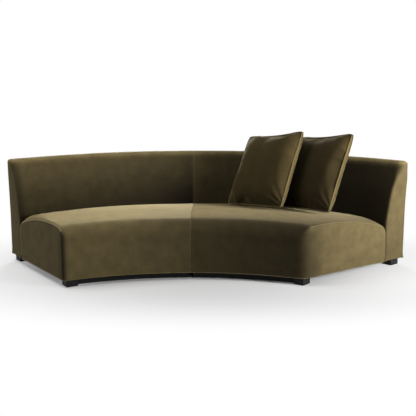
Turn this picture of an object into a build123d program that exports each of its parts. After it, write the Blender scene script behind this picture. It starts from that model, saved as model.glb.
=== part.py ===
from build123d import *
import os
from math import asin, atan2, cos, degrees, radians, sin, sqrt

# A curved sofa in two upholstered sections that meet at a seam, with two loose pillows.
# Millimetres, +Z up, origin on the floor under the middle of the sofa's box.
# Plan coordinates start at the seam: x runs to the right, y from the front face to the rear.

# Overall form
HEIGHT = 750.0  # floor to the top of the back
HEM_HEIGHT = 50.0  # floor to the bottom edge of the covers
SEAM_DEPTH = 980.0  # front face to rear face along the seam
FRONT_RADIUS = 1780.0  # plan radius of the front face
REAR_RADIUS = 2235.0  # plan radius of the rear face
LEFT_FRONT_REACH = 827.0  # seam to the front corner of the left end
LEFT_REAR_REACH = 1333.0  # seam to the rear corner of the left end
RIGHT_FRONT_REACH = 746.0
RIGHT_REAR_REACH = 1510.0
SEAM_GAP = 2.0  # between the two sections' covers

# Seat crown
SEAT_CREST = 410.0  # floor to the highest line of the seat
CREST_SETBACK = 190.0  # front face to that line
CROWN_DROP = 39.0  # from that line down to the rear edge, along most of the seat
END_CROWN_DROP = 102.0  # the same at the end panel
FRONT_EDGE_RADIUS = 65.0
REAR_EDGE_RADIUS = 26.0
END_REAR_EDGE_RADIUS = 70.0
# Places from the seam to the end, each with its share of the end panel's deeper drop
SEAT_STATIONS = [(0.0, 0.0), (0.35, 0.0), (0.65, 0.05), (0.85, 0.4), (1.0, 1.0)]

# Back profile, thicknesses measured from the rear face
BACK_THICKNESS = 186.0
BACK_BREAK_HEIGHT = 330.0  # the front face leans from here up
BACK_KNEE_THICKNESS = 150.0
BACK_KNEE_HEIGHT = 560.0
BACK_TOP_THICKNESS = 76.0
BACK_BREAK_RADIUS = 260.0
BACK_KNEE_RADIUS = 300.0
BACK_TOP_FRONT_RADIUS = 40.0
BACK_TOP_REAR_RADIUS = 26.0

# Covers and clearances
COVER_THICKNESS = 12.0  # velvet with its wadding
COVER_EDGE_RADIUS = 9.0  # rounding along the end panels' outlines
FIT = 0.3  # between pieces that lie against each other
OVERRUN = 5.0  # how far a cutting shape passes the face it opens

# Timber frame
RAIL_THICKNESS = 25.0
REAR_RAIL_THICKNESS = 60.0
DECK_HEIGHT = 250.0  # top of the base rails
POST_THICKNESS = 40.0
POST_WIDTH = 45.0
POST_PLACES = [0.34, 0.67]
TOP_RAIL_DROP = 60.0  # top of the back down to the top rail
TOP_RAIL_HEIGHT = 40.0
CROSS_RAIL_PLACES = [0.34, 0.67]
BLOCK_SIZE = 75.0
BLOCK_HEIGHT = 40.0

# Seat suspension and dust cover
WEB_WIDTH = 60.0
WEB_THICKNESS = 2.5
WEB_COUNT = 7
DUST_THICKNESS = 2.0

# Feet and toe rail
FOOT_SIZE = 82.0
FOOT_INSET = 10.0  # from the curved face
FOOT_END_INSETS = {"left": (24.0, 26.0), "right": (12.0, 42.0)}  # from the end panel, front and rear
FOOT_CHAMFER = 2.5
BOLT_DIAMETER = 8.0
BOLT_IN_FOOT = 28.0
BOLT_IN_FRAME = 30.0
BOLT_FIT = 0.1
TOE_SETBACK = 60.0  # front face to the toe rail
TOE_THICKNESS = 18.0
TOE_FOOT_GAP = 20.0  # toe rail stops this far short of the front foot

# Connectors under the seam
CONNECTOR_PLACES = [0.33, 0.72]  # shares of the seam depth
PLATE_LENGTH = 70.0
PLATE_WIDTH = 60.0
PLATE_THICKNESS = 3.0
TONGUE_WIDTH = 30.0
TONGUE_REACH = 32.0
TONGUE_FIT = 0.5
SCREW_DIAMETER = 4.5
SCREW_HEAD_DIAMETER = 9.0
SCREW_HEAD_HEIGHT = 2.5
SCREW_DEPTH = 22.0
SCREW_PITCH = 48.0

# Pillows
PILLOW_SIZE = 550.0
PILLOW_THICKNESS = 178.0
PILLOW_GUSSET = 14.0
PILLOW_DRAW = 14.0  # how far each side pulls in between its corners
PILLOW_SKIN = 3.0
PILLOW_TOUCH_HEIGHT = 700.0  # where a pillow comes nearest to the back
LEFT_PILLOW_ALONG = 565.6  # along the rear arc from the seam
LEFT_PILLOW_STANDOFF = 331.1  # back at that height to the middle of the pillow's bottom edge
LEFT_PILLOW_TWIST = 35.5  # turned away from the back, degrees
LEFT_PILLOW_LEAN = 26.5
LEFT_PILLOW_ROLL = 7.0
RIGHT_PILLOW_ALONG = 994.7
RIGHT_PILLOW_STANDOFF = 305.7
RIGHT_PILLOW_TWIST = 28.5
RIGHT_PILLOW_LEAN = 25.0
RIGHT_PILLOW_ROLL = 5.5
# Outlines of a half pillow: share of its rise, scale of the square, share of the draw
PILLOW_RISES = [
    (0.0, 1.0, 1.0),
    (0.3, 0.955, 0.85),
    (0.62, 0.83, 0.4),
    (0.88, 0.62, -0.3),
    (1.0, 0.3, -0.5),
]
PILLOW_CLEARANCE = 60.0  # above the seat's crest before the pillow is lowered
REST_GAP = 0.3
SETTLE_STEPS = 4

# Sizes worked out from the driving dimensions
SIDES = {"left": -1, "right": 1}
FRONT_REACH = {"left": LEFT_FRONT_REACH, "right": RIGHT_FRONT_REACH}
REAR_REACH = {"left": LEFT_REAR_REACH, "right": RIGHT_REAR_REACH}
WALL = COVER_THICKNESS + FIT
FRAME_BOTTOM = HEM_HEIGHT + DUST_THICKNESS
DECK_TOP = DECK_HEIGHT + WEB_THICKNESS
CAVITY_TOP = DECK_TOP + FIT
TOP_RAIL_TOP = HEIGHT - TOP_RAIL_DROP
TOP_RAIL_BOTTOM = TOP_RAIL_TOP - TOP_RAIL_HEIGHT
FRONT_CORNER_Y = sqrt(FRONT_RADIUS**2 - max(FRONT_REACH.values()) ** 2) - FRONT_RADIUS
SEAM_X = (LEFT_REAR_REACH - RIGHT_REAR_REACH) / 2
SEAM_Y = -(SEAM_DEPTH + FRONT_CORNER_Y) / 2
PLAN = Plane((SEAM_X, SEAM_Y, 0))
TOUCH_SHARE = (PILLOW_TOUCH_HEIGHT - BACK_KNEE_HEIGHT) / (HEIGHT - BACK_KNEE_HEIGHT)
TOUCH_THICKNESS = BACK_KNEE_THICKNESS + TOUCH_SHARE * (BACK_TOP_THICKNESS - BACK_KNEE_THICKNESS)


# Plan arcs as (centre y, radius); the inset moves an arc into the sofa
def front_arc(inset):
    return (-FRONT_RADIUS, FRONT_RADIUS + inset)


def rear_arc(inset):
    return (SEAM_DEPTH - REAR_RADIUS, REAR_RADIUS - inset)


def on_arc(arc, x):
    return Vector(x, arc[0] + sqrt(arc[1] ** 2 - x**2))


def arc_angle(arc, point):
    return atan2(point.X, point.Y - arc[0])


def arc_middle(arc, first, last):
    angle = (arc_angle(arc, first) + arc_angle(arc, last)) / 2
    return Vector(arc[1] * sin(angle), arc[0] + arc[1] * cos(angle))


# Plan lines as (point, direction), all running from the front to the rear
def seam_line(side, inset):
    return (Vector(SIDES[side] * (SEAM_GAP / 2 + inset), 0), Vector(0, 1))


def end_line(side, inset):
    front = on_arc(front_arc(0), SIDES[side] * FRONT_REACH[side])
    rear = on_arc(rear_arc(0), SIDES[side] * REAR_REACH[side])
    run = (rear - front).normalized()
    inward = Vector(-SIDES[side] * run.Y, SIDES[side] * run.X)
    return (front + inward * inset, run)


def cross_line(side, place, offset=0):
    # A line part of the way from the seam to the end, moved sideways by the offset
    front_angle = place * asin(FRONT_REACH[side] / FRONT_RADIUS) * SIDES[side]
    rear_angle = place * asin(REAR_REACH[side] / REAR_RADIUS) * SIDES[side]
    front = Vector(FRONT_RADIUS * sin(front_angle), FRONT_RADIUS * (cos(front_angle) - 1))
    rear = Vector(REAR_RADIUS * sin(rear_angle), SEAM_DEPTH + REAR_RADIUS * (cos(rear_angle) - 1))
    run = (rear - front).normalized()
    outward = Vector(SIDES[side] * run.Y, -SIDES[side] * run.X)
    return (front + outward * offset, run)


def meet(line, arc):
    # Where a plan line leaves an arc's circle
    point, run = line
    start = point - Vector(0, arc[0])
    along = start.dot(run)
    return point + run * (sqrt(along**2 - start.dot(start) + arc[1] ** 2) - along)


def panel(front, rear, near, far):
    # A face between two plan arcs and two plan lines
    corners = [meet(near, front), meet(near, rear), meet(far, rear), meet(far, front)]
    with BuildSketch() as face:
        with BuildLine():
            Line(corners[0], corners[1])
            ThreePointArc(corners[1], arc_middle(rear, corners[1], corners[2]), corners[2])
            Line(corners[2], corners[3])
            ThreePointArc(corners[3], arc_middle(front, corners[3], corners[0]), corners[0])
        make_face()
    return face.sketch


def seat_profile(depth, end_share, inset, bottom):
    # Front face, rounded front edge, crown, rounded rear edge and rear face
    drop = CROWN_DROP + end_share * (END_CROWN_DROP - CROWN_DROP)
    run = depth + 2 * inset - CREST_SETBACK
    crown = (run**2 + drop**2) / (2 * drop) - inset
    front_radius = FRONT_EDGE_RADIUS - inset
    rear_radius = REAR_EDGE_RADIUS + end_share * (END_REAR_EDGE_RADIUS - REAR_EDGE_RADIUS) - inset
    crest = Vector(CREST_SETBACK - inset, SEAT_CREST - inset)
    centre = crest - Vector(0, crown)
    front_drop = sqrt((crown - front_radius) ** 2 - (crest.X - front_radius) ** 2)
    front_centre = Vector(front_radius, centre.Y + front_drop)
    rear_drop = sqrt((crown - rear_radius) ** 2 - (depth - rear_radius - crest.X) ** 2)
    rear_centre = Vector(depth - rear_radius, centre.Y + rear_drop)
    front_way = (front_centre - centre).normalized()
    rear_way = (rear_centre - centre).normalized()
    front_top = centre + front_way * crown
    rear_top = centre + rear_way * crown
    front_side = front_centre - Vector(front_radius, 0)
    rear_side = rear_centre + Vector(rear_radius, 0)
    front_middle = front_centre + (front_way - Vector(1, 0)).normalized() * front_radius
    rear_middle = rear_centre + (rear_way + Vector(1, 0)).normalized() * rear_radius
    with BuildSketch() as face:
        with BuildLine():
            Line((0, bottom), front_side)
            ThreePointArc(front_side, front_middle, front_top)
            ThreePointArc(front_top, centre + (front_way + rear_way).normalized() * crown, rear_top)
            ThreePointArc(rear_top, rear_middle, rear_side)
            Line(rear_side, (depth, bottom))
            Line((depth, bottom), (0, bottom))
        make_face()
    return face.sketch


def seat_solid(side, inset, bottom):
    # A crowned block lofted from the seam to the end panel
    with BuildPart() as solid:
        for place, end_share in SEAT_STATIONS:
            line = cross_line(side, place)
            if place == 0:
                line = seam_line(side, inset)
            if place == 1:
                line = end_line(side, inset)
            front = meet(line, front_arc(inset))
            rear = meet(line, rear_arc(BACK_THICKNESS + FIT + inset))
            origin = PLAN.from_local_coords(front)
            normal = line[1].cross(Vector(0, 0, 1))
            with BuildSketch(Plane(origin, x_dir=line[1], z_dir=normal)):
                add(seat_profile((rear - front).length, end_share, inset, bottom))
        loft()
    return solid.part


def back_profile(inset, bottom):
    # Upright rear face, rounded top and a front face that leans back
    outline = [
        (REAR_RADIUS, bottom - inset),
        (REAR_RADIUS, HEIGHT),
        (REAR_RADIUS - BACK_TOP_THICKNESS, HEIGHT),
        (REAR_RADIUS - BACK_KNEE_THICKNESS, BACK_KNEE_HEIGHT),
        (REAR_RADIUS - BACK_THICKNESS, BACK_BREAK_HEIGHT),
        (REAR_RADIUS - BACK_THICKNESS, bottom - inset),
    ]
    radii = [BACK_TOP_REAR_RADIUS, BACK_TOP_FRONT_RADIUS, BACK_KNEE_RADIUS, BACK_BREAK_RADIUS]
    with BuildSketch() as face:
        with BuildLine():
            Polyline(*outline, close=True)
        make_face()
        for corner, radius in zip(outline[1:5], radii):
            fillet(face.vertices().sort_by_distance(corner)[0], radius)
        if inset > 0:
            offset(amount=-inset, kind=Kind.INTERSECTION, mode=Mode.REPLACE)
    return face.sketch


def back_solid(side, inset, bottom):
    # The back's profile turned about the rear arc's centre and cut at the seam and the end
    centre = PLAN.from_local_coords(Vector(0, rear_arc(0)[0]))
    with BuildPart() as solid:
        with BuildSketch(Plane(centre, x_dir=(0, 1, 0), z_dir=(1, 0, 0))):
            add(back_profile(inset, bottom))
        revolve(axis=Axis(centre, (0, 0, 1)))
        with BuildSketch(PLAN.offset(bottom)):
            near = seam_line(side, inset)
            far = end_line(side, inset)
            add(panel(rear_arc(2 * BACK_THICKNESS), rear_arc(-OVERRUN), near, far))
        extrude(amount=HEIGHT, mode=Mode.INTERSECT)
    return solid.part


def foot_spot(side, arc, way, end_inset):
    # A foot in an outer corner, turned midway between the end panel and the curved face
    corner = meet(end_line(side, 0), arc)
    run = end_line(side, 0)[1]
    angle = arc_angle(arc, corner)
    end_out = Vector(SIDES[side] * run.Y, -SIDES[side] * run.X)
    arc_out = Vector(cos(angle), -sin(angle)) * SIDES[side]
    out = (end_out + arc_out).normalized()
    rearward = Vector(-out.Y, out.X) * SIDES[side]
    centre = corner + rearward * way * (FOOT_INSET + FOOT_SIZE / 2) - out * (end_inset + FOOT_SIZE / 2)
    return Location(centre, (0, 0, degrees(atan2(out.Y, out.X))))


def seam_foot_spot(side):
    # A foot beside the seam under the rear rail
    setback = FOOT_INSET + FOOT_SIZE / 2
    return Location(meet(seam_line(side, setback), rear_arc(setback)))


def connector_solid(side, point):
    # A flat plate with a socket for the left section, or with a tongue for the right one
    sign = SIDES[side]
    seam_edge = sign * SEAM_GAP
    socket_top = HEM_HEIGHT - PLATE_THICKNESS
    tongue_top = socket_top - TONGUE_FIT
    tongue_bottom = tongue_top - PLATE_THICKNESS
    with BuildPart(PLAN) as solid:
        with BuildSketch(PLAN.offset(socket_top)):
            with Locations(Vector(seam_edge + sign * PLATE_LENGTH / 2, point.Y)):
                Rectangle(PLATE_LENGTH, PLATE_WIDTH)
        extrude(amount=PLATE_THICKNESS)
        if side == "right":
            with BuildSketch(PLAN.offset(tongue_bottom)):
                with Locations(Vector(seam_edge + TONGUE_REACH / 2, point.Y)):
                    Rectangle(TONGUE_REACH, TONGUE_WIDTH)
            extrude(amount=socket_top - tongue_bottom)
            with BuildSketch(PLAN.offset(tongue_bottom)):
                with Locations(Vector(seam_edge - TONGUE_REACH / 2, point.Y)):
                    Rectangle(TONGUE_REACH, TONGUE_WIDTH)
            extrude(amount=PLATE_THICKNESS)
        else:
            socket_width = TONGUE_WIDTH + 2 * TONGUE_FIT
            socket_bottom = tongue_bottom - TONGUE_FIT
            with BuildSketch(PLAN.offset(socket_bottom - PLATE_THICKNESS)):
                with Locations(Vector(seam_edge - TONGUE_REACH / 2, point.Y)):
                    Rectangle(TONGUE_REACH, socket_width + 2 * PLATE_THICKNESS)
            extrude(amount=socket_top - socket_bottom + PLATE_THICKNESS)
            with BuildSketch(PLAN.offset(socket_bottom)):
                with Locations(Vector(seam_edge - TONGUE_REACH / 2, point.Y)):
                    Rectangle(TONGUE_REACH, socket_width)
            extrude(amount=socket_top - socket_bottom, mode=Mode.SUBTRACT)
    return solid.part


def pillow_outline(half, draw):
    # A square whose sides bend in by the draw between its corners
    corners = [(-half, -half), (half, -half), (half, half), (-half, half)]
    middles = [(0, draw - half), (half - draw, 0), (0, half - draw), (draw - half, 0)]
    with BuildSketch() as face:
        with BuildLine():
            for index, middle in enumerate(middles):
                ThreePointArc(corners[index], middle, corners[(index + 1) % 4])
        make_face()
    return face.sketch


def pillow_solid(plane, shrink):
    # Two crowned halves on a narrow gusset; the shrink gives the space inside the skin
    half = PILLOW_SIZE / 2 - shrink
    gusset = PILLOW_GUSSET / 2 - shrink
    rise = (PILLOW_THICKNESS - PILLOW_GUSSET) / 2
    with BuildPart() as solid:
        with BuildSketch(plane):
            add(pillow_outline(half, PILLOW_DRAW))
        extrude(amount=gusset, both=True)
        for way in (1, -1):
            for height, scale, draw in PILLOW_RISES:
                with BuildSketch(plane.offset(way * (gusset + height * rise))):
                    add(pillow_outline(half * scale, PILLOW_DRAW * draw))
            loft()
    return solid.part


def pillow_plane(along_rear, standoff, twist, lean, roll):
    # The middle plane of a pillow that stands over the seat and leans towards the back
    angle = along_rear / REAR_RADIUS
    arc = rear_arc(TOUCH_THICKNESS + standoff)
    foot = Vector(arc[1] * sin(angle), arc[0] + arc[1] * cos(angle), SEAT_CREST + PILLOW_CLEARANCE)
    turn = -angle - radians(twist)
    lean = radians(lean)
    roll = radians(roll)
    along = Vector(cos(turn), sin(turn))
    upward = Vector(-sin(turn), cos(turn)) * sin(lean) + Vector(0, 0, cos(lean))
    across = along * cos(roll) + upward * sin(roll)
    rising = upward * cos(roll) - along * sin(roll)
    middle = PLAN.from_local_coords(foot) + rising * PILLOW_SIZE / 2
    return Plane(middle, x_dir=across, z_dir=across.cross(rising))


def settle(part, way, support):
    # How far a pillow moves before it lies a hair from the face that carries it
    travel = 0.0
    for step in range(SETTLE_STEPS):
        travel += part.moved(Location(way * travel)).distance_to(support) - REST_GAP
    return travel


def end_edges(part, side, rear_inset):
    # The outline of an end panel, without its bottom edge
    middle = meet(end_line(side, 0), rear_arc(rear_inset))
    spot = PLAN.from_local_coords(middle + Vector(0, 0, (HEM_HEIGHT + DECK_HEIGHT) / 2))
    face = part.faces().sort_by_distance(spot)[0]
    return face.edges().filter_by(lambda edge: edge.center().Z > HEM_HEIGHT + COVER_EDGE_RADIUS)


def save(piece, name):
    piece.part.label = name
    export_step(piece.part, f"parts/{name}.step")


os.makedirs("parts", exist_ok=True)
OUTER_SEATS = {}
OUTER_BACKS = {}
PILLOW_POSES = {
    "left": (
        LEFT_PILLOW_ALONG,
        LEFT_PILLOW_STANDOFF,
        LEFT_PILLOW_TWIST,
        LEFT_PILLOW_LEAN,
        LEFT_PILLOW_ROLL,
    ),
    "right": (
        RIGHT_PILLOW_ALONG,
        RIGHT_PILLOW_STANDOFF,
        RIGHT_PILLOW_TWIST,
        RIGHT_PILLOW_LEAN,
        RIGHT_PILLOW_ROLL,
    ),
}

for side in SIDES:
    seam_skin = seam_line(side, COVER_THICKNESS)
    end_skin = end_line(side, COVER_THICKNESS)
    seam = seam_line(side, WALL)
    seam_inner = seam_line(side, WALL + RAIL_THICKNESS)
    end = end_line(side, WALL)
    end_inner = end_line(side, WALL + RAIL_THICKNESS)
    rail_front = front_arc(WALL + RAIL_THICKNESS)
    rail_rear = rear_arc(WALL + REAR_RAIL_THICKNESS)
    rail_height = DECK_HEIGHT - FRAME_BOTTOM

    # Upholstery covers, hollow shells open underneath and where seat and back join below the deck
    OUTER_SEATS[side] = seat_solid(side, 0, HEM_HEIGHT)
    seat_hollow = seat_solid(side, COVER_THICKNESS, CAVITY_TOP - OVERRUN)
    with BuildPart() as seat_cover:
        add(OUTER_SEATS[side])
        fillet(end_edges(seat_cover.part, side, SEAM_DEPTH / 2), COVER_EDGE_RADIUS)
        add(seat_hollow, mode=Mode.SUBTRACT)
        with BuildSketch(PLAN.offset(HEM_HEIGHT)):
            add(panel(front_arc(COVER_THICKNESS), rear_arc(BACK_THICKNESS / 2), seam_skin, end_skin))
        extrude(amount=CAVITY_TOP - HEM_HEIGHT, mode=Mode.SUBTRACT)
    save(seat_cover, f"{side}_seat_cover")

    OUTER_BACKS[side] = back_solid(side, 0, HEM_HEIGHT)
    back_hollow = back_solid(side, COVER_THICKNESS, HEM_HEIGHT)
    with BuildPart() as back_cover:
        add(OUTER_BACKS[side])
        fillet(end_edges(back_cover.part, side, BACK_THICKNESS / 2), COVER_EDGE_RADIUS)
        add(back_hollow, mode=Mode.SUBTRACT)
        with BuildSketch(PLAN.offset(HEM_HEIGHT)):
            add(panel(rear_arc(BACK_THICKNESS + OVERRUN), rear_arc(COVER_THICKNESS), seam_skin, end_skin))
        extrude(amount=CAVITY_TOP - HEM_HEIGHT, mode=Mode.SUBTRACT)
    save(back_cover, f"{side}_back_cover")

    # Foam inside the covers, above the webbing
    foam_block = seat_solid(side, WALL, DECK_TOP)
    with BuildPart() as seat_foam:
        add(foam_block)
    save(seat_foam, f"{side}_seat_foam")

    foam_wrap = back_solid(side, WALL, DECK_TOP)
    with BuildPart() as back_foam:
        add(foam_wrap)
        with BuildSketch(PLAN.offset(DECK_TOP)):
            add(panel(rear_arc(WALL + POST_THICKNESS + FIT), rear_arc(0), seam_skin, end_skin))
        extrude(amount=TOP_RAIL_TOP + FIT - DECK_TOP, mode=Mode.SUBTRACT)
    save(back_foam, f"{side}_back_foam")

    # Where the feet stand and which way they face
    outer_front = foot_spot(side, front_arc(0), 1, FOOT_END_INSETS[side][0])
    outer_rear = foot_spot(side, rear_arc(0), -1, FOOT_END_INSETS[side][1])
    seam_rear = seam_foot_spot(side)
    feet = {"front": outer_front, "rear": outer_rear, "seam": seam_rear}
    bolt_points = [spot.position for spot in feet.values()]

    # Base rails, with pilot holes for the fasteners that enter from below
    plate_x = seam[0].X + SIDES[side] * RAIL_THICKNESS / 2
    plate_points = [Vector(plate_x, share * SEAM_DEPTH) for share in CONNECTOR_PLACES]
    half_pitch = Vector(0, SCREW_PITCH / 2)
    plate_screws = [point - half_pitch for point in plate_points]
    plate_screws += [point + half_pitch for point in plate_points]
    toe_arc = front_arc(TOE_SETBACK + TOE_THICKNESS / 2)
    toe_screws = [meet(cross_line(side, place), toe_arc) for place in CROSS_RAIL_PLACES]

    with BuildPart() as front_rail:
        with BuildSketch(PLAN.offset(FRAME_BOTTOM)):
            add(panel(front_arc(WALL), rail_front, seam, end))
        extrude(amount=rail_height)
    save(front_rail, f"{side}_front_rail")

    with BuildPart() as rear_rail:
        with BuildSketch(PLAN.offset(FRAME_BOTTOM)):
            add(panel(rail_rear, rear_arc(WALL), seam, end))
        extrude(amount=rail_height)
        with BuildSketch(PLAN.offset(FRAME_BOTTOM)):
            with Locations(bolt_points[1:]):
                Circle(BOLT_DIAMETER / 2 + BOLT_FIT)
        extrude(amount=BOLT_IN_FRAME - DUST_THICKNESS, mode=Mode.SUBTRACT)
    save(rear_rail, f"{side}_rear_rail")

    with BuildPart() as end_rail:
        with BuildSketch(PLAN.offset(FRAME_BOTTOM)):
            add(panel(rail_front, rail_rear, end, end_inner))
        extrude(amount=rail_height)
    save(end_rail, f"{side}_end_rail")

    with BuildPart() as seam_rail:
        with BuildSketch(PLAN.offset(FRAME_BOTTOM)):
            add(panel(rail_front, rail_rear, seam, seam_inner))
        extrude(amount=rail_height)
        with BuildSketch(PLAN.offset(FRAME_BOTTOM)):
            with Locations(plate_screws):
                Circle(SCREW_DIAMETER / 2 + BOLT_FIT)
        extrude(amount=SCREW_DEPTH - DUST_THICKNESS, mode=Mode.SUBTRACT)
    save(seam_rail, f"{side}_seam_rail")

    with BuildPart() as cross_rails:
        with BuildSketch(PLAN.offset(FRAME_BOTTOM)):
            for place in CROSS_RAIL_PLACES:
                near = cross_line(side, place, -RAIL_THICKNESS / 2)
                far = cross_line(side, place, RAIL_THICKNESS / 2)
                add(panel(rail_front, rail_rear, near, far))
        extrude(amount=rail_height)
        with BuildSketch(PLAN.offset(FRAME_BOTTOM)):
            with Locations(toe_screws):
                Circle(SCREW_DIAMETER / 2 + BOLT_FIT)
        extrude(amount=SCREW_DEPTH - DUST_THICKNESS, mode=Mode.SUBTRACT)
    save(cross_rails, f"{side}_cross_rails")

    with BuildPart() as corner_block:
        with BuildSketch(PLAN.offset(FRAME_BOTTOM)):
            block_rear = front_arc(WALL + RAIL_THICKNESS + BLOCK_SIZE)
            block_inner = end_line(side, WALL + RAIL_THICKNESS + BLOCK_SIZE)
            add(panel(rail_front, block_rear, block_inner, end_inner))
        extrude(amount=BLOCK_HEIGHT)
        with BuildSketch(PLAN.offset(FRAME_BOTTOM)):
            with Locations(bolt_points[0]):
                Circle(BOLT_DIAMETER / 2 + BOLT_FIT)
        extrude(amount=BOLT_IN_FRAME - DUST_THICKNESS, mode=Mode.SUBTRACT)
    save(corner_block, f"{side}_corner_block")

    # Back frame: posts on the rear rail and a top rail along them
    post_front = rear_arc(WALL + POST_THICKNESS)
    with BuildPart() as back_posts:
        with BuildSketch(PLAN.offset(DECK_HEIGHT)):
            add(panel(post_front, rear_arc(WALL), seam, seam_line(side, WALL + POST_WIDTH)))
            add(panel(post_front, rear_arc(WALL), end, end_line(side, WALL + POST_WIDTH)))
            for place in POST_PLACES:
                near = cross_line(side, place, -POST_WIDTH / 2)
                far = cross_line(side, place, POST_WIDTH / 2)
                add(panel(post_front, rear_arc(WALL), near, far))
        extrude(amount=TOP_RAIL_BOTTOM - DECK_HEIGHT)
    save(back_posts, f"{side}_back_posts")

    with BuildPart() as top_rail:
        with BuildSketch(PLAN.offset(TOP_RAIL_BOTTOM)):
            add(panel(post_front, rear_arc(WALL), seam, end))
        extrude(amount=TOP_RAIL_HEIGHT)
    save(top_rail, f"{side}_top_rail")

    # Webbing straps from the front rail to the rear rail
    with BuildPart() as webbing:
        with BuildSketch(PLAN.offset(DECK_HEIGHT)):
            for strap in range(WEB_COUNT):
                place = (strap + 0.5) / WEB_COUNT
                near = cross_line(side, place, -WEB_WIDTH / 2)
                far = cross_line(side, place, WEB_WIDTH / 2)
                add(panel(front_arc(WALL), rear_arc(WALL + POST_THICKNESS + FIT), near, far))
        extrude(amount=WEB_THICKNESS)
    save(webbing, f"{side}_webbing")

    # Dust cover under the frame, pierced by the fasteners
    with BuildPart() as dust_cover:
        with BuildSketch(PLAN.offset(HEM_HEIGHT)):
            add(panel(front_arc(WALL), rear_arc(WALL), seam, end))
            with Locations(bolt_points):
                Circle(BOLT_DIAMETER / 2 + BOLT_FIT, mode=Mode.SUBTRACT)
            with Locations(plate_screws + toe_screws):
                Circle(SCREW_DIAMETER / 2 + BOLT_FIT, mode=Mode.SUBTRACT)
        extrude(amount=DUST_THICKNESS)
    save(dust_cover, f"{side}_dust_cover")

    # Block feet and the bolts that hold them
    for name, spot in feet.items():
        with BuildPart() as foot:
            with BuildSketch(PLAN):
                with Locations(spot):
                    Rectangle(FOOT_SIZE, FOOT_SIZE)
            extrude(amount=HEM_HEIGHT)
            upright = foot.edges().filter_by(Axis.Z)
            chamfer(upright + foot.faces().sort_by(Axis.Z)[0].edges(), FOOT_CHAMFER)
            with BuildSketch(PLAN.offset(HEM_HEIGHT)):
                with Locations(spot):
                    Circle(BOLT_DIAMETER / 2 + BOLT_FIT)
            extrude(amount=-BOLT_IN_FOOT, mode=Mode.SUBTRACT)
        save(foot, f"{side}_{name}_foot")

    with BuildPart() as foot_bolts:
        with BuildSketch(PLAN.offset(HEM_HEIGHT - BOLT_IN_FOOT)):
            with Locations(bolt_points):
                Circle(BOLT_DIAMETER / 2)
        extrude(amount=BOLT_IN_FOOT + BOLT_IN_FRAME)
    save(foot_bolts, f"{side}_foot_bolts")

    # Toe rail set back under the front edge, and its screws
    with BuildPart() as toe_rail:
        with BuildSketch(PLAN):
            toe_rear = front_arc(TOE_SETBACK + TOE_THICKNESS)
            toe_end = end_line(side, FOOT_INSET + FOOT_SIZE + TOE_FOOT_GAP)
            add(panel(front_arc(TOE_SETBACK), toe_rear, seam, toe_end))
        extrude(amount=HEM_HEIGHT)
        with BuildSketch(PLAN):
            with Locations(toe_screws):
                Circle(SCREW_HEAD_DIAMETER / 2 + BOLT_FIT)
        extrude(amount=HEM_HEIGHT / 2, mode=Mode.SUBTRACT)
        with BuildSketch(PLAN):
            with Locations(toe_screws):
                Circle(SCREW_DIAMETER / 2 + BOLT_FIT)
        extrude(amount=HEM_HEIGHT, mode=Mode.SUBTRACT)
    save(toe_rail, f"{side}_toe_rail")

    with BuildPart() as toe_rail_screws:
        with BuildSketch(PLAN.offset(HEM_HEIGHT / 2 - SCREW_HEAD_HEIGHT)):
            with Locations(toe_screws):
                Circle(SCREW_HEAD_DIAMETER / 2)
        extrude(amount=SCREW_HEAD_HEIGHT)
        with BuildSketch(PLAN.offset(HEM_HEIGHT / 2)):
            with Locations(toe_screws):
                Circle(SCREW_DIAMETER / 2)
        extrude(amount=HEM_HEIGHT / 2 + SCREW_DEPTH)
    save(toe_rail_screws, f"{side}_toe_rail_screws")

    # Connector plates under the seam rail: sockets on the left section, tongues on the right
    with BuildPart() as connector:
        for point in plate_points:
            add(connector_solid(side, point))
        with BuildSketch(PLAN.offset(HEM_HEIGHT)):
            with Locations(plate_screws):
                Circle(SCREW_DIAMETER / 2 + BOLT_FIT)
        extrude(amount=-PLATE_THICKNESS, mode=Mode.SUBTRACT)
    save(connector, f"{side}_connectors")

    with BuildPart() as connector_screws:
        with BuildSketch(PLAN.offset(HEM_HEIGHT - PLATE_THICKNESS - SCREW_HEAD_HEIGHT)):
            with Locations(plate_screws):
                Circle(SCREW_HEAD_DIAMETER / 2)
        extrude(amount=SCREW_HEAD_HEIGHT)
        with BuildSketch(PLAN.offset(HEM_HEIGHT - PLATE_THICKNESS)):
            with Locations(plate_screws):
                Circle(SCREW_DIAMETER / 2)
        extrude(amount=PLATE_THICKNESS + SCREW_DEPTH)
    save(connector_screws, f"{side}_connector_screws")

# Pillows: a sewn cover round a stuffed insert, lowered onto the right seat
seat_top = OUTER_SEATS["right"].faces().sort_by(Axis.Z)[-1]
for name, pose in PILLOW_POSES.items():
    plane = pillow_plane(*pose)
    drop = settle(pillow_solid(plane, 0), Vector(0, 0, -1), seat_top)
    plane = Plane(plane.origin - Vector(0, 0, drop), x_dir=plane.x_dir, z_dir=plane.z_dir)

    skin = pillow_solid(plane, 0)
    hollow = pillow_solid(plane, PILLOW_SKIN)
    filling = pillow_solid(plane, PILLOW_SKIN + FIT)
    with BuildPart() as pillow_cover:
        add(skin)
        add(hollow, mode=Mode.SUBTRACT)
    save(pillow_cover, f"{name}_pillow_cover")

    with BuildPart() as pillow_insert:
        add(filling)
    save(pillow_insert, f"{name}_pillow_insert")
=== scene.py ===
import math

import bpy
import numpy as np
from mathutils import Matrix, Vector, noise


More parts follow.
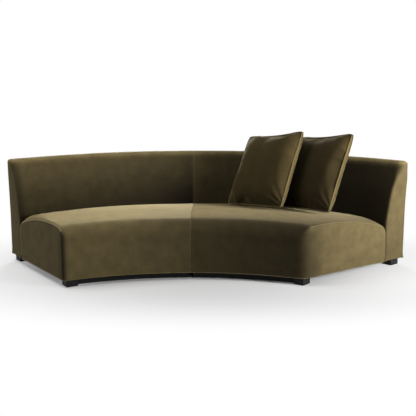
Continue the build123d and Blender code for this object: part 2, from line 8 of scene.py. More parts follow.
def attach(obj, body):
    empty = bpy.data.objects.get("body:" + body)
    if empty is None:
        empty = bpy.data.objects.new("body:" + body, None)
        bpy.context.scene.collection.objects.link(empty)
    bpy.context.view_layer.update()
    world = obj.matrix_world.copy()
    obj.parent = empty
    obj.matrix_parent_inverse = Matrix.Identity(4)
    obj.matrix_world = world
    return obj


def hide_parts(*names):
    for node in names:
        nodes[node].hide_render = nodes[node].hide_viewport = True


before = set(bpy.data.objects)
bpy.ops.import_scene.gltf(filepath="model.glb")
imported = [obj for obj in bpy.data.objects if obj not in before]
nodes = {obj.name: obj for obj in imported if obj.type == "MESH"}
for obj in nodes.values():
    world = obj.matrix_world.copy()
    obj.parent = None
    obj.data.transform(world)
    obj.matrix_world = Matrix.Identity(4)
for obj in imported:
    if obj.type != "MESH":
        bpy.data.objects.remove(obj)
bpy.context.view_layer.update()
print("frame loaded,", len(nodes), "CAD nodes")

# the sofa's plan in metres, measured from the foot of the seam between the two sections
plan = {
    "seamPlace": (-0.0885, -0.38811),
    "seamDepth": 0.98,
    "backHeight": 0.75,
    "hemHeight": 0.05,
    "frontRadius": 1.78,
    "rearRadius": 2.235,
    "frontReach": {"left": 0.827, "right": 0.746},
    "rearReach": {"left": 1.333, "right": 1.510},
    "halfGap": 0.0003,
    "backThickness": 0.186,
}
sideSign = {"left": -1.0, "right": 1.0}
rearCentreY = plan["seamDepth"] - plan["rearRadius"]


# a point on the front or rear arc, at a share of the way from the seam to the end
def arcPlace(side, share, reach, radius):
    angle = share * math.asin(plan[reach][side] / plan[radius]) * sideSign[side]
    return np.array([math.sin(angle), math.cos(angle) - 1]) * plan[radius]


def frontPoint(side, share):
    return arcPlace(side, share, "frontReach", "frontRadius")


def rearPoint(side, share):
    return arcPlace(side, share, "rearReach", "rearRadius") + (0, plan["seamDepth"])


def unit(vector):
    return vector / np.linalg.norm(vector)


# 0 at the start, 1 at the end, and level beyond them
def ramp(values, start, end):
    return np.clip((values - start) / (end - start), 0, 1)


def smoothStep(share):
    return share**2 * (3 - 2 * share)


# 1 at a place, fading to both sides of it
def hump(values, place, width):
    return np.exp(-(((values - place) / width) ** 2))


# where a line that starts inside a circle about (0, centreY) leaves it
def circleMeet(point, run, centreY, radius):
    start = point - (0, centreY)
    along = start @ run
    return point + run * (math.sqrt(along**2 - start @ start + radius**2) - along)


# front corner of an end panel, the direction to its rear and the one that it faces
def endFrame(side):
    corner = frontPoint(side, 1)
    run = unit(rearPoint(side, 1) - corner)
    out = np.array([run[1], -run[0]]) * sideSign[side]
    return corner, run, out


def distanceFromEnd(side, points):
    corner, run, out = endFrame(side)
    return np.maximum(-(points[:, :2] - corner) @ out, 0)


def arcPoints(centre, radius, startAngle, endAngle, count):
    angles = np.linspace(startAngle, endAngle, count + 1)
    return np.array([centre]) + radius * np.stack([np.cos(angles), np.sin(angles)], 1)


def rowPlace(points):
    seamX, seamY = plan["seamPlace"]
    return points + np.array([seamX, seamY, 0.0])


def addObject(name, data):
    holder = bpy.data.objects.new(name, data)
    bpy.context.scene.collection.objects.link(holder)
    return holder


def pointsOf(mesh):
    return np.array([v.co for v in mesh.vertices])


# a mesh object of a closed form, its faces turned to look outwards
def meshPiece(name, points, faces, finish):
    mesh = bpy.data.meshes.new(name)
    mesh.from_pydata([tuple(map(float, p)) for p in points], [], faces)
    mesh.validate()
    mesh.shade_smooth()
    volume = 0.0
    for polygon in mesh.polygons:
        volume += polygon.center.dot(polygon.normal) * polygon.area
    if volume < 0:
        mesh.flip_normals()
    mesh.materials.append(finish)
    return addObject(name, mesh)


# the numbers of points that follow each other in rows
def indexRows(count, size, start=0):
    return [range(start + k * size, start + (k + 1) * size) for k in range(count)]


# faces between each closed row of points and the next one
def bandFaces(rows):
    faces = []
    for upper, lower in zip(rows, rows[1:]):
        for i in range(len(upper)):
            j = (i + 1) % len(upper)
            faces.append((upper[i], upper[j], lower[j], lower[i]))
    return faces


# faces of two grids of points, one behind the other
def twinGridFaces(columns, rows):
    across = rows + 1
    count = (columns + 1) * across
    faces = []
    for i in range(columns):
        for j in range(rows):
            k = i * across + j
            faces.append((k, k + across, k + across + 1, k + 1))
            faces.append((count + k, count + k + 1, count + k + across + 1, count + k + across))
    return faces


# the points round the edge of such a grid, in order
def gridBorder(columns, rows):
    grid = np.arange((columns + 1) * (rows + 1)).reshape(columns + 1, rows + 1)
    return np.concatenate([grid[0], grid[1:, -1], grid[-1, -2::-1], grid[-2:0:-1, 0]]).tolist()


def subdivide(piece):
    smoothing = piece.modifiers.new("smooth", "SUBSURF")
    smoothing.levels = 1
    smoothing.render_levels = 1


# one value for each point, or the same for all
def setValues(piece, name, values):
    layer = piece.data.attributes.new(name, "FLOAT", "POINT").data
    layer.foreach_set("value", np.full(len(layer), values, np.float32))


cordShape = {"sides": 8, "firstSide": (0.31, 0.52, 0.79), "toneAndPaintedLight": 0.3}


# a sewn seam or hem: a thin round cord of the cover's own cloth along a line of points, paler by wear and
# a painted highlight
def sewnCord(name, line, radius, finish, rubAndHighlight, closed=False):
    if closed:
        ahead = np.roll(line, -1, 0) - np.roll(line, 1, 0)
    else:
        ahead = np.gradient(line, axis=0)
    ahead /= np.linalg.norm(ahead, axis=1)[:, None]
    sides = cordShape["sides"]
    side = np.cross(ahead[0], cordShape["firstSide"])
    points = []
    for place, way in zip(line, ahead):
        side = unit(side - way * (side @ way))
        up = np.cross(way, side)
        for k in range(sides):
            turn = 2 * math.pi * k / sides
            points.append(place + radius * (side * math.cos(turn) + up * math.sin(turn)))
    rows = indexRows(len(line), sides)
    ends = []
    if closed:
        # the last ring meets the first one in the turn where their points lie closest
        firstRing = np.array(points[:sides])
        lastRing = np.array(points[-sides:])
        misfits = [np.sum((lastRing - np.roll(firstRing, -turn, 0)) ** 2) for turn in range(sides)]
        rows.append(np.roll(rows[0], -np.argmin(misfits)).tolist())
    else:
        ends = [tuple(rows[0]), tuple(rows[-1])]
    cord = meshPiece(name, points, bandFaces(rows) + ends, finish)
    setValues(cord, "rubAndHighlight", rubAndHighlight)
    setValues(cord, "toneAndPaintedLight", cordShape["toneAndPaintedLight"])
    return cord


# finishes
def newMaterial(name):
    material = bpy.data.materials.new(name)
    material.use_nodes = True
    tree = material.node_tree
    return material, tree, tree.nodes["Principled BSDF"]


# links inputs to other sockets, or sets their values
def setInputs(tree, node, inputs):
    for key, value in inputs.items():
        if isinstance(value, bpy.types.NodeSocket):
            tree.links.new(value, node.inputs[key])
        else:
            node.inputs[key].default_value = value


def addNode(tree, kind, inputs):
    node = tree.nodes.new(f"ShaderNode{kind}")
    setInputs(tree, node, inputs)
    return node


def addTexture(tree, kind, place, inputs):
    return addNode(tree, f"Tex{kind}", {"Vector": place, **inputs}).outputs["Fac"]


def addMath(tree, operation, first, second):
    node = addNode(tree, "Math", {0: first, 1: second})
    node.operation = operation
    return node.outputs["Value"]


def addRange(tree, value, source, target, curve="LINEAR"):
    node = addNode(tree, "MapRange", {0: value, 1: source[0], 2: source[1], 3: target[0], 4: target[1]})
    node.interpolation_type = curve
    return node.outputs["Result"]


def addBump(tree, height, inputs):
    return addNode(tree, "Bump", {"Height": height, **inputs}).outputs["Normal"]


def paintedValue(tree, name):
    node = addNode(tree, "Attribute", {})
    node.attribute_name = name
    return node.outputs["Fac"]


def objectPlace(tree, scale):
    place = addNode(tree, "TexCoord", {}).outputs["Object"]
    return addNode(tree, "Mapping", {"Vector": place, "Scale": scale}).outputs["Vector"]


def colourBlend(tree, factor, first, second):
    blend = addNode(tree, "Mix", {})
    blend.data_type = "RGBA"
    setInputs(tree, blend, {0: factor, 6: first, 7: second})
    return blend.outputs[2]


velvetLook = {
    "deep": (0.005, 0.0037, 0.0016, 1),
    "light": (0.240, 0.1840, 0.0810, 1),
    "paleRubAndHighlight": (0.180, 0.146, 0.076, 1),
    "fullToneAndLight": 1.5,
    "mottle": 0.24, "mottleRange": (0.3, 0.7), "strokeShare": 0.25,
    # copies of one velvet whose sheen strength differs by piece, set with the painted light and shade to
    # match how light fell on each
    "sheen": {
        "leftSeat": 0.5,
        "leftEnd": 0.12,
        "rightSeat": 0.15,
        "leftBack": 0.2,
        "rightBack": 0.15,
        "pillow": 0.3,
    },
    "sheenRoughness": 0.36,
    "sheenTint": (0.95, 0.80, 0.47, 1),
    "roughness": 0.88,
    "specular": 0.08,
    "cloudScale": 13.0,
    "clouds": {"Detail": 3.0, "Roughness": 0.55},
    "strokeStretch": (26.0, 26.0, 6.0),
    "strokes": {"Scale": 1.0, "Detail": 5.0, "Roughness": 0.65},
    "strokeBump": {"Strength": 0.25, "Distance": 0.004},
    "pile": {"Scale": 1500.0, "Detail": 1.0},
    "pileBump": {"Strength": 0.18, "Distance": 0.0012},
}


# cut pile: cloudy pile tone, brushed strokes and fine pile bump; its colour runs from deep to light by
# the painted light and shade, and seams are paler by wear and a painted highlight
def velvet(piece, look):
    material, tree, shader = newMaterial(f"{piece}Velvet")
    even = objectPlace(tree, (1, 1, 1))
    brushed = objectPlace(tree, look["strokeStretch"])
    clouds = addTexture(tree, "Noise", even, {"Scale": look["cloudScale"], **look["clouds"]})
    strokes = addTexture(tree, "Noise", brushed, look["strokes"])
    pile = addTexture(tree, "Noise", even, look["pile"])
    patches = addNode(tree, "Mix", {0: look["strokeShare"], 2: clouds, 3: strokes})
    spread = (1 - look["mottle"], 1 + look["mottle"])
    mottle = addRange(tree, patches.outputs[0], look["mottleRange"], spread)
    # painted light and shade: the painted value, mottled, sets how far the colour goes from deep to light
    toneAndLight = addMath(tree, "MULTIPLY", paintedValue(tree, "toneAndPaintedLight"), mottle)
    shading = addRange(tree, toneAndLight, (0, look["fullToneAndLight"]), (0, 1))
    ground = colourBlend(tree, shading, look["deep"], look["light"])
    strokeNormal = addBump(tree, strokes, look["strokeBump"])
    setInputs(tree, shader, {
        "Base Color": colourBlend(tree, paintedValue(tree, "rubAndHighlight"), ground, look["paleRubAndHighlight"]),
        "Normal": addBump(tree, pile, {"Normal": strokeNormal, **look["pileBump"]}),
        "Roughness": look["roughness"],
        "Specular IOR Level": look["specular"],
        "Sheen Weight": look["sheen"][piece],
        "Sheen Roughness": look["sheenRoughness"],
        "Sheen Tint": look["sheenTint"],
    })
    return material


# finishes of two colours, blended by a grain
plainLooks = {
    "footLacquer": {
        "colours": ((0.004, 0.004, 0.0042, 1), (0.012, 0.0115, 0.011, 1)),
        "stretch": (40, 40, 160),
        "grain": ("Noise", {"Scale": 1.6, "Detail": 6.0, "Roughness": 0.6}),
        "bump": {"Strength": 0.12, "Distance": 0.0006},
        "roughness": (0.45, 0.6),
        "shader": {"Specular IOR Level": 0.12},
    },
    "frameTimber": {
        "colours": ((0.46, 0.31, 0.17, 1), (0.27, 0.16, 0.08, 1)),
        "stretch": (3, 3, 22),
        "grain": ("Wave", {"Scale": 2.4, "Distortion": 7.0, "Detail": 3.0}),
        "fibres": ("Noise", {"Scale": 60.0, "Detail": 4.0}),
        "bump": {"Strength": 0.3, "Distance": 0.0008},
        "shader": {"Roughness": 0.62},
    },
    "fittingSteel": {
        "colours": ((0.52, 0.52, 0.53, 1), (0.33, 0.33, 0.34, 1)),
        "grain": ("Noise", {"Scale": 90.0, "Detail": 4.0}),
        "shader": {"Roughness": 0.36, "Metallic": 1.0},
    },
    "dustFelt": {
        "colours": ((0.004, 0.004, 0.004, 1), (0.012, 0.012, 0.013, 1)),
        "grain": ("Noise", {"Scale": 700.0, "Detail": 3.0}),
        "bump": {"Strength": 0.4, "Distance": 0.0006},
        "shader": {"Roughness": 0.9},
    },
}


# the grain, or finer fibres where there are some, also gives the bump
def plainFinish(name):
    look = plainLooks[name]
    material, tree, shader = newMaterial(name)
    place = objectPlace(tree, look.get("stretch", (1, 1, 1)))
    kind, inputs = look["grain"]
    grain = addTexture(tree, kind, place, inputs)
    setInputs(tree, shader, {"Base Color": colourBlend(tree, grain, *look["colours"]), **look["shader"]})
    if "roughness" in look:
        setInputs(tree, shader, {"Roughness": addRange(tree, grain, (0, 1), look["roughness"])})
    if "bump" in look:
        fine = grain
        if "fibres" in look:
            kind, inputs = look["fibres"]
            fine = addTexture(tree, kind, place, inputs)
        setInputs(tree, shader, {"Normal": addBump(tree, fine, look["bump"])})
    return material


sofaVelvet = {}
for piece in velvetLook["sheen"]:
    if piece != "pillow":
        sofaVelvet[piece] = velvet(piece, velvetLook)
pillowTone = {"cloudScale": 9.0, "deep": (0.005, 0.0034, 0.0011, 1), "light": (0.240, 0.1720, 0.0600, 1)}
pillowVelvet = velvet("pillow", dict(velvetLook, **pillowTone))
footLacquer = plainFinish("footLacquer")
frameTimber = plainFinish("frameTimber")
fittingSteel = plainFinish("fittingSteel")
dustFelt = plainFinish("dustFelt")
print("materials made")

# rigid CAD nodes keep their shapes and take a finish
nodeFinish = {
    "front_rail rear_rail end_rail seam_rail cross_rails corner_block back_posts top_rail": frameTimber,
    "front_foot rear_foot seam_foot toe_rail": footLacquer,
    "foot_bolts toe_rail_screws connectors connector_screws": fittingSteel,
}
for side in sideSign:
    for endings, finish in nodeFinish.items():
        for ending in endings.split():
            slots = nodes[f"{side}_{ending}"].data.materials
            slots.clear()
            slots.append(finish)
print("rigid nodes finished")

# seats and backs
seatShape = {
    "crest": 0.41, "crestSetback": 0.19, "drop": 0.039, "endDrop": 0.102,
    "gradualDrop": {"left": 0.27, "right": 0.45},
    "gradualStart": 0.45, "gradualPower": 1.6,
    "lateDrop": {"left": 0.92, "right": 0.86},
    "endCrest": {"left": 0.41, "right": 0.402},
    "frontRound": 0.10, "endFrontRound": 0.065, "rearRound": 0.026, "endRearRound": 0.070,
    "hemRound": 0.004, "backGap": 0.0003, "columns": 64,
    "rows": {"hem": 4, "face": 18, "frontEdge": 12, "crown": 44, "rearEdge": 10, "rear": 10, "under": 14},
    "trialDepth": 0.7,
    "endRoll": 0.016,
    "cornerRoll": {"left": 0.018, "right": 0.020},
    "lowRolls": {"hem": 0.003, "under": 0.002, "rear": 0.010},
    "crownSeamRoll": 0.4,
    "cornerSoft": {"left": 0.0, "right": 0.046},
    "cornerChord": 0.97,
    "cornerCrease": {"left": 0.0065, "right": 0.0},
    "creaseRows": 9,
    "panelSwell": 0.003,
    "seamCord": {"left": 0.0034, "right": 0.0024},
    "seamRubAndHighlight": {"left": 1.0, "right": 0.5},
    "seamStart": {"left": 6, "right": 11},
    "hemCord": 0.0022, "hemLift": 0.0012, "hemRubAndHighlight": 0.5, "hemRow": 2,
    "topGroove": {"left": 0.004, "right": 0.0},
    "grooveShade": {"left": 0.5, "right": 1.0},
    "grooveRings": 5,
    "seed": {"left": 3.1, "right": 8.4},
}
# painted light and shade on a seat, with the velvet's own tone under them, and where they change
seatToneAndPaintedLight = {
    "left": {"top": (0.22, 1.03, 0.97), "front": (0.27, 0.66), "end": 0.32},
    "right": {"top": (1.0, 0.36), "front": (0.19, 0.127, 0.127), "end": 0.465},
    "edgeLight": {"left": 0.36, "right": 0.12},
    "crownLight": 0.4, "crownRows": 8,
    "belowCrest": (0.01, 0.06),
    "cornerTurn": (-0.045, 0.195),
    "cornerReach": (0.08, 0.03),
    "creaseShade": 0.85, "creaseWidths": (0.024, 0.042),
    "rimShade": 0.6, "rimPlace": 0.020, "rimWidth": 0.012,
}
backShape = {
    "breakHeight": 0.33, "kneeThickness": 0.15, "kneeHeight": 0.56, "topThickness": 0.076,
    "breakRound": 0.26, "kneeRound": 0.30, "topFrontRound": 0.040, "topRearRound": 0.026,
    "hemRound": 0.004, "columns": 60,
    "runs": {3: 14, 10: 7, 17: 6, 28: 3, 37: 34, 43: 4},
    "endRoll": {"left": 0.016, "right": 0.017},
    "topEndRoll": {"left": 0.024, "right": 0.042},
    "rollHeights": (0.62, 0.72),
    "endFlare": {"left": (0.007, 0.004), "right": (0.018, 0.012)},
    "flareReach": 0.3, "flareHeights": (0.3, 0.75),
    "panelSwell": 0.002,
    "seed": {"left": 5.7, "right": 1.9},
}
# painted light and shade on a back, with the velvet's own tone under them, and where they change
backToneAndPaintedLight = {
    "left": {"top": (0.205, 0.44), "front": (0.008, 0.155), "end": 0.245, "rear": 0.45},
    "right": {
        "top": (0.24, 0.19, 0.14, 0.03, 0.07),
        "front": (0.165, 0.124, 0.08, 0.0, 0.03),
        "end": 0.395,
        "rear": 0.45,
    },
    "upperStart": 0.40, "rearDepth": 0.03, "rearBelowTop": (0.01, 0.04),
    "endShade": {"left": 0.55, "right": 0.0},
    "shadeStart": 0.004, "shadePlace": 0.017, "shadeWidth": 0.034,
    "topHighlight": 0.7, "highlightBelowTop": (0.030, 0.010),
}
# how a section is swept from the seam to the end: steps of its table, rings and turned edges
sweep = {
    "steps": 240,
    "capShares": (0.15, 0.4, 0.65, 0.82, 0.92, 0.97),
    "closeRings": (0.006, 0.014, 0.024),
    "seamTurns": 5, "endTurns": 9,
    "seamRoll": 0.003, "hemRoll": 0.002, "rollRise": 0.5,
    "creaseWidth": 0.17,
    "toneAndLightTurn": 4,
}
# cloth stretched by hand: its waves, calm beside the seam, and the paler seam line of wear and painted
# highlight
stretch = {
    "wave": 0.0012, "waveScale": 4.2, "fineWave": 0.45, "fineScale": 2.7,
    "calmWidth": 0.06, "wearAndHighlightWidth": 0.005,
    "wearAndHighlightHeights": (0.05, 0.25, 0.38, 0.40),
    "wearAndHighlightShares": (0.0, 0.03, 0.22, 0.13),
}
# the dust cloth's bed under the covers
underside = {"edge": 0.0122, "step": 0.0036, "slope": 0.001}


# an outline with rounded corners, each corner as (point, radius, steps)
def roundedLine(corners):
    places = np.array([place for place, radius, steps in corners])
    points = []
    for i, (place, radius, steps) in enumerate(corners):
        corner = places[i]
        if radius == 0:
            points.append(corner)
            continue
        back = unit(places[i - 1] - corner)
        ahead = unit(places[(i + 1) % len(corners)] - corner)
        half = math.acos(np.clip(back @ ahead, -1, 1)) / 2
        centre = corner + unit(back + ahead) * radius / math.sin(half)
        first = corner + back * radius / math.tan(half) - centre
        last = corner + ahead * radius / math.tan(half) - centre
        turn = math.pi - 2 * half
        shares = np.linspace(0, 1, steps + 1)[:, None]
        arc = first * np.sin((1 - shares) * turn) + last * np.sin(shares * turn)
        points.extend(centre + arc / math.sin(turn))
    return np.array(points)


# straight runs divided, each named by the number of the point that it starts from
def fillRuns(points, runs):
    filled = []
    for i, (point, following) in enumerate(zip(points, np.roll(points, -1, 0))):
        steps = runs.get(i, 1)
        for k in range(steps):
            filled.append(point + (following - point) * k / steps)
    return np.array(filled)


# how far the crown has come down to its lower shape at the end: slowly first, then over the last stretch
def seatEndShare(side, share):
    slow = seatShape["gradualDrop"][side]
    gradual = ramp(share, seatShape["gradualStart"], 1) ** seatShape["gradualPower"]
    late = ramp(share, seatShape["lateDrop"][side], 1) ** 2
    return slow * gradual + (1 - slow) * late


# closed section of a seat: front face, rounded front edge, crown, rear edge, underside
def seatLoop(side, depth, share):
    shape = seatShape
    rows = shape["rows"]
    hem = plan["hemHeight"]
    low = shape["hemRound"]

    def between(start, end):
        return start + share * (end - start)

    crest = between(shape["crest"], shape["endCrest"][side])
    drop = between(shape["drop"], shape["endDrop"])
    front = between(shape["frontRound"], shape["endFrontRound"])
    rear = between(shape["rearRound"], shape["endRearRound"])
    crown = ((depth - shape["crestSetback"]) ** 2 + drop**2) / (2 * drop)
    centre = np.array([shape["crestSetback"], crest - crown])

    # centre of an edge's rounding, which runs into the crown, and the angle where they meet
    def edgeRound(across, radius):
        rise = math.sqrt((crown - radius) ** 2 - (across - centre[0]) ** 2)
        return np.array([across, centre[1] + rise]), math.atan2(rise, across - centre[0])

    def upright(across, start, end, count):
        return np.column_stack([np.full(count, across), np.linspace(start, end, count + 1)[:-1]])

    frontCentre, frontAngle = edgeRound(front, front)
    rearCentre, rearAngle = edgeRound(depth - rear, rear)
    under = np.linspace(depth - underside["edge"], underside["edge"], rows["under"])
    parts = [
        ("hem", arcPoints((low, hem + low), low, -math.pi / 2, -math.pi, rows["hem"])[:-1]),
        ("face", upright(0.0, hem + low, frontCentre[1], rows["face"])),
        ("edge", arcPoints(frontCentre, front, math.pi, frontAngle, rows["frontEdge"])[:-1]),
        ("crown", arcPoints(centre, crown, frontAngle, rearAngle, rows["crown"])[:-1]),
        ("edge", arcPoints(rearCentre, rear, rearAngle, 0, rows["rearEdge"])[:-1]),
        ("rear", upright(depth, rearCentre[1], hem + low, rows["rear"])),
        ("hem", arcPoints((depth - low, hem + low), low, 0, -math.pi / 2, rows["hem"])),
        ("under", np.column_stack([under, np.full(rows["under"], hem)])),
    ]
    labels = np.array([name for name, points in parts for point in points])
    loop = np.concatenate([points for name, points in parts])
    loop[np.flatnonzero(labels == "under")[1:-1], 1] += underside["step"]
    return loop, labels


# closed section of a back as thickness from the rear face and height
def backLoop():
    shape = backShape
    hem = plan["hemHeight"]
    thick = plan["backThickness"]
    bedEdge = underside["edge"] + underside["slope"]
    bedHeight = hem + underside["step"]
    corners = [
        ((thick, hem), shape["hemRound"], 3),
        ((thick, shape["breakHeight"]), shape["breakRound"], 6),
        ((shape["kneeThickness"], shape["kneeHeight"]), shape["kneeRound"], 6),
        ((shape["topThickness"], plan["backHeight"]), shape["topFrontRound"], 10),
        ((0.0, plan["backHeight"]), shape["topRearRound"], 8),
        ((0.0, hem), shape["hemRound"], 3),
        ((underside["edge"], hem), 0, 0),
        ((bedEdge, bedHeight), 0, 0),
        ((thick - bedEdge, bedHeight), 0, 0),
        ((thick - underside["edge"], hem), 0, 0),
    ]
    return fillRuns(roundedLine(corners), shape["runs"])


# fine waviness of hand-stretched cloth, along each point's normal
def uneven(points, normals, seed):
    scale = stretch["waveScale"]
    moved = np.array(points)
    for i, (p, n) in enumerate(zip(points, normals)):
        q = Vector((p[0] * scale + seed, p[1] * scale, p[2] * scale))
        lift = noise.noise(q) + stretch["fineWave"] * noise.noise(q * stretch["fineScale"])
        moved[i] = p + n * stretch["wave"] * lift
    return moved


# sweeps a closed section from the seam to the end panel, rolls both edges and caps them
def sweptBody(side, section, shape, seamEdge, endEdge, crease):
    steps = sweep["steps"]
    seamOut = np.array([-sideSign[side], 0.0, 0.0])
    endOut = np.append(endFrame(side)[2], 0.0)
    table = np.array([section(k / steps) for k in range(steps + 1)])
    size = table.shape[1]
    rows = np.arange(size)

    def ringAt(shares):
        low = np.clip((shares * steps).astype(int), 0, steps - 1)
        part = (shares * steps - low)[:, None]
        return table[low, rows] * (1 - part) + table[low + 1, rows] * part

    def inward(ring, out):
        along = np.roll(ring, -1, 0) - np.roll(ring, 1, 0)
        across = np.cross(along, out)
        across /= np.linalg.norm(across, axis=1)[:, None]
        return across if np.sum((ring.mean(0) - ring) * across) > 0 else -across

    # the edge turns from the swept surface into the flat end along a curve
    def roll(ring, step, out, edge, turns, valley):
        way = step - ring
        run = np.linalg.norm(way, axis=1)[:, None]
        way = way / run
        inner = inward(ring, out)
        start = ring + way * edge[:, None]
        last = ring + inner * edge[:, None]
        diagonal = way + inner
        diagonal /= np.linalg.norm(diagonal, axis=1)[:, None]
        curved = []
        for v in turns:
            turned = start * (1 - v) ** 2 + ring * 2 * v * (1 - v) + last * v * v
            curved.append(turned + diagonal * (valley * hump(v, 0.5, sweep["creaseWidth"]))[:, None])
        return curved, last, edge / run[:, 0] / steps

    def capRings(ring, out, shares, bulge):
        centre = ring.mean(0)
        return [centre + (ring - centre) * f + out * bulge * (1 - f * f) for f in shares]

    capShares = np.array(sweep["capShares"])
    seamTurns = np.linspace(1, 0, sweep["seamTurns"] + 1)[:-1]
    endTurns = np.linspace(0, 1, sweep["endTurns"] + 1)[1:]
    noCrease = np.zeros(size)
    seamRings, seamLast, seamCut = roll(table[0], table[1], seamOut, seamEdge, seamTurns, noCrease)
    endRings, endLast, endCut = roll(table[-1], table[-2], endOut, endEdge, endTurns, crease)
    close = np.array(sweep["closeRings"])
    places = np.unique(np.concatenate([np.linspace(0, 1, shape["columns"]), close, 1 - close]))
    main = [ringAt(seamCut + (1 - seamCut - endCut) * u) for u in places]
    rings = capRings(seamLast, seamOut, capShares, 0.0) + seamRings + main + endRings
    rings += capRings(endLast, endOut, capShares[::-1], shape["panelSwell"])
    points = np.concatenate(rings + [[rings[0].mean(0), rings[-1].mean(0)]])
    faces = bandFaces(indexRows(len(rings), size))
    first = len(rings) * size
    last = first - size
    for i in range(size):
        j = (i + 1) % size
        faces.append((first, j, i))
        faces.append((first + 1, last + i, last + j))
    head = len(capShares) + len(seamRings)
    foot = len(endRings) + len(capShares)
    marks = {
        "size": size,
        "seamEnd": len(capShares) + len(seamRings) // 2,
        "endMiddle": head + len(main) + len(endRings) // 2,
        "endFlat": head + len(main) + len(endRings) - 1,
        "shares": np.concatenate([np.zeros(head), places, np.ones(foot)]),
    }
    return points, faces, marks


# rolled edges that grow tighter towards the hem
def tightenLow(edge, heights):
    return np.minimum(edge, sweep["hemRoll"] + (heights - plan["hemHeight"]) * sweep["rollRise"])


# tone with painted light and shade: values along the upper and lower part, from the seam outwards, and
# one for the end
def toneAndPaintedLightValues(marks, upper, looks, rearRows=0.0):
    shares = marks["shares"]
    top = np.interp(shares, np.linspace(0, 1, len(looks["top"])), looks["top"])
    front = np.interp(shares, np.linspace(0, 1, len(looks["front"])), looks["front"])
    values = front[:, None] + (top - front)[:, None] * upper
    values += (looks.get("rear", 0.0) - values) * rearRows
    rings = np.arange(len(shares)) - marks["endMiddle"]
    turned = smoothStep(ramp(rings, -sweep["toneAndLightTurn"], sweep["toneAndLightTurn"]))[:, None]
    values += (looks["end"] - values) * turned
    return np.concatenate([values.ravel(), [front[0], looks["end"]]])


# turns faces out, adds the waviness of stretched cloth, pales the seam by wear and a painted highlight
# and smooths
def finishBody(name, points, faces, tonesAndPaintedLight, seed):
    piece = meshPiece(name, points, faces, sofaVelvet[name])
    setValues(piece, "toneAndPaintedLight", tonesAndPaintedLight)
    normals = np.array([v.normal for v in piece.data.vertices])
    fromSeam = np.abs(points[:, 0] - plan["seamPlace"][0])
    coords = uneven(points, normals * ramp(fromSeam, 0, stretch["calmWidth"])[:, None], seed)
    piece.data.vertices.foreach_set("co", coords.ravel())
    piece.data.update()
    # painted highlight with wear: the seam line is paler, most near the top
    wearAndHighlight = np.interp(points[:, 2], stretch["wearAndHighlightHeights"], stretch["wearAndHighlightShares"])
    setValues(piece, "rubAndHighlight", wearAndHighlight * hump(fromSeam, 0, stretch["wearAndHighlightWidth"]))
    subdivide(piece)
    return piece


def softenRows(values, reach):
    rows = len(values)
    return np.array([values[np.arange(i - reach, i + reach + 1) % rows].mean() for i in range(rows)])


